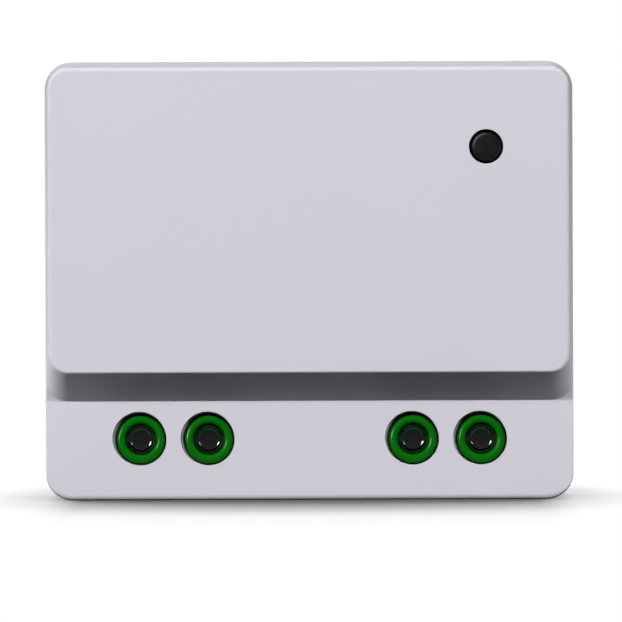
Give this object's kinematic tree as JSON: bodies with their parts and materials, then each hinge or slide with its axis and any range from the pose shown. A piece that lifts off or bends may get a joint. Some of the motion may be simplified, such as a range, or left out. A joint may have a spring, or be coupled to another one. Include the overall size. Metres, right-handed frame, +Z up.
{
  "type": "remote control switch",
  "caption": "Radio remote control switch for a lamp circuit: flat white box with a raised front, a push button and a lower deck with round ports to the screws of green wire terminals.",
  "frame": {"origin": "middle of the bottom face, halfway across the width and the depth, at the lowest point", "axes": "+X to the right seen from the front, +Y to the back, +Z up; the front with the button faces -Y"},
  "size_m": [0.059, 0.022, 0.049],
  "materials": {
    "case_plastic": "satin moulded ABS, cool white",
    "terminal_plastic": "glossy green polyamide",
    "button_plastic": "black moulded plastic",
    "screw_steel": "dark zinc plated steel",
    "case_screw_steel": "zinc plated steel",
    "cage_steel": "zinc plated steel",
    "tinned_brass": "tinned brass",
    "board_laminate": "green solder mask on glass laminate",
    "solder": "bright solder",
    "switch_body_plastic": "black moulded plastic",
    "stainless_sheet": "stainless sheet",
    "relay_plastic": "blue moulded plastic",
    "black_plastic": "black moulded plastic",
    "soft_iron": "plated soft iron",
    "enamelled_copper": "enamelled copper winding",
    "contact_metal": "spring bronze with silver contacts",
    "fuse_plastic": "brown moulded can",
    "capacitor_yellow": "yellow epoxy box",
    "varistor_blue": "blue epoxy coating",
    "can_sleeve": "dark shrink sleeve on an aluminium can",
    "ferrite": "grey-black ferrite",
    "winding_tape": "yellow tape over the winding",
    "chip_resin": "black moulding compound",
    "chip_ceramic": "fired ceramic"
  },
  "bodies": {
    "case": {"front_cover": "case_plastic", "rear_cover": "case_plastic", "case_screws": "case_screw_steel", "circuit_board": "board_laminate", "solder_joints": "solder", "input_terminal_housing": "terminal_plastic", "output_terminal_housing": "terminal_plastic", "switch_base": "switch_body_plastic", "switch_cover_plate": "stainless_sheet", "switch_dome": "stainless_sheet", "switch_pins": "tinned_brass", "relay_base": "black_plastic", "relay_cover": "relay_plastic", "relay_yoke": "soft_iron", "relay_core": "soft_iron", "relay_bobbin": "black_plastic", "relay_coil": "enamelled_copper", "relay_fixed_contact": "contact_metal", "relay_pins": "tinned_brass", "fuse": "fuse_plastic", "safety_capacitor": "capacitor_yellow", "varistor": "varistor_blue", "bridge_rectifier": "chip_resin", "bulk_capacitor": "can_sleeve", "transformer_core": "ferrite", "transformer_bobbin": "black_plastic", "transformer_winding": "winding_tape", "output_capacitor": "can_sleeve", "power_chip": "chip_resin", "microcontroller": "chip_resin", "memory_chip": "chip_resin", "chip_resistors": "chip_resin", "chip_capacitors": "chip_ceramic", "radio_board": "board_laminate", "radio_chip": "chip_resin", "radio_crystal": "stainless_sheet", "radio_header_pins": "tinned_brass", "aerial_coil": "enamelled_copper", "contact_bar_1": "tinned_brass", "contact_bar_2": "tinned_brass", "contact_bar_3": "tinned_brass", "contact_bar_4": "tinned_brass"},
    "clamp_screw_1": {"terminal_screw_1": "screw_steel"},
    "clamp_screw_2": {"terminal_screw_2": "screw_steel"},
    "clamp_screw_3": {"terminal_screw_3": "screw_steel"},
    "clamp_screw_4": {"terminal_screw_4": "screw_steel"},
    "cage_1": {"clamp_cage_1": "cage_steel"},
    "cage_2": {"clamp_cage_2": "cage_steel"},
    "cage_3": {"clamp_cage_3": "cage_steel"},
    "cage_4": {"clamp_cage_4": "cage_steel"},
    "button": {"switch_plunger": "button_plastic"},
    "armature": {"relay_armature": "soft_iron", "relay_contact_spring": "contact_metal"}
  },
  "joints": [
    {"name": "screw_1_turn", "type": "hinge", "parent": "case", "child": "clamp_screw_1", "pos_m": [-0.01891, -0.0035, 0.00678], "axis": [0, 1, 0], "range_deg": [0, 1080]},
    {"name": "cage_1_rise", "type": "slide", "parent": "case", "child": "cage_1", "axis": [0, -1, 0], "range_m": [0, 0.0015]},
    {"name": "screw_2_turn", "type": "hinge", "parent": "case", "child": "clamp_screw_2", "pos_m": [-0.01129, -0.0035, 0.00678], "axis": [0, 1, 0], "range_deg": [0, 1080]},
    {"name": "cage_2_rise", "type": "slide", "parent": "case", "child": "cage_2", "axis": [0, -1, 0], "range_m": [0, 0.0015]},
    {"name": "screw_3_turn", "type": "hinge", "parent": "case", "child": "clamp_screw_3", "pos_m": [0.01157, -0.0035, 0.00678], "axis": [0, 1, 0], "range_deg": [0, 1080]},
    {"name": "cage_3_rise", "type": "slide", "parent": "case", "child": "cage_3", "axis": [0, -1, 0], "range_m": [0, 0.0015]},
    {"name": "screw_4_turn", "type": "hinge", "parent": "case", "child": "clamp_screw_4", "pos_m": [0.01919, -0.0035, 0.00678], "axis": [0, 1, 0], "range_deg": [0, 1080]},
    {"name": "cage_4_rise", "type": "slide", "parent": "case", "child": "cage_4", "axis": [0, -1, 0], "range_m": [0, 0.0015]},
    {"name": "button_press", "type": "slide", "parent": "case", "child": "button", "axis": [0, 1, 0], "range_m": [0, 0.00025], "stiffness_N_per_m": 6400, "deforming": ["switch_dome"]},
    {"name": "armature_close", "type": "hinge", "parent": "case", "child": "armature", "pos_m": [0.0071, -0.00375, 0.0234], "axis": [0, 0, 1], "range_deg": [0, 3.5], "stiffness_Nm_per_rad": 0.005, "springref_deg": -5.73}
  ],
  "couplings": [
    {"joint": "screw_1_turn", "follows": "cage_1_rise", "rad_per_m": 12566},
    {"joint": "screw_2_turn", "follows": "cage_2_rise", "rad_per_m": 12566},
    {"joint": "screw_3_turn", "follows": "cage_3_rise", "rad_per_m": 12566},
    {"joint": "screw_4_turn", "follows": "cage_4_rise", "rad_per_m": 12566}
  ]
}
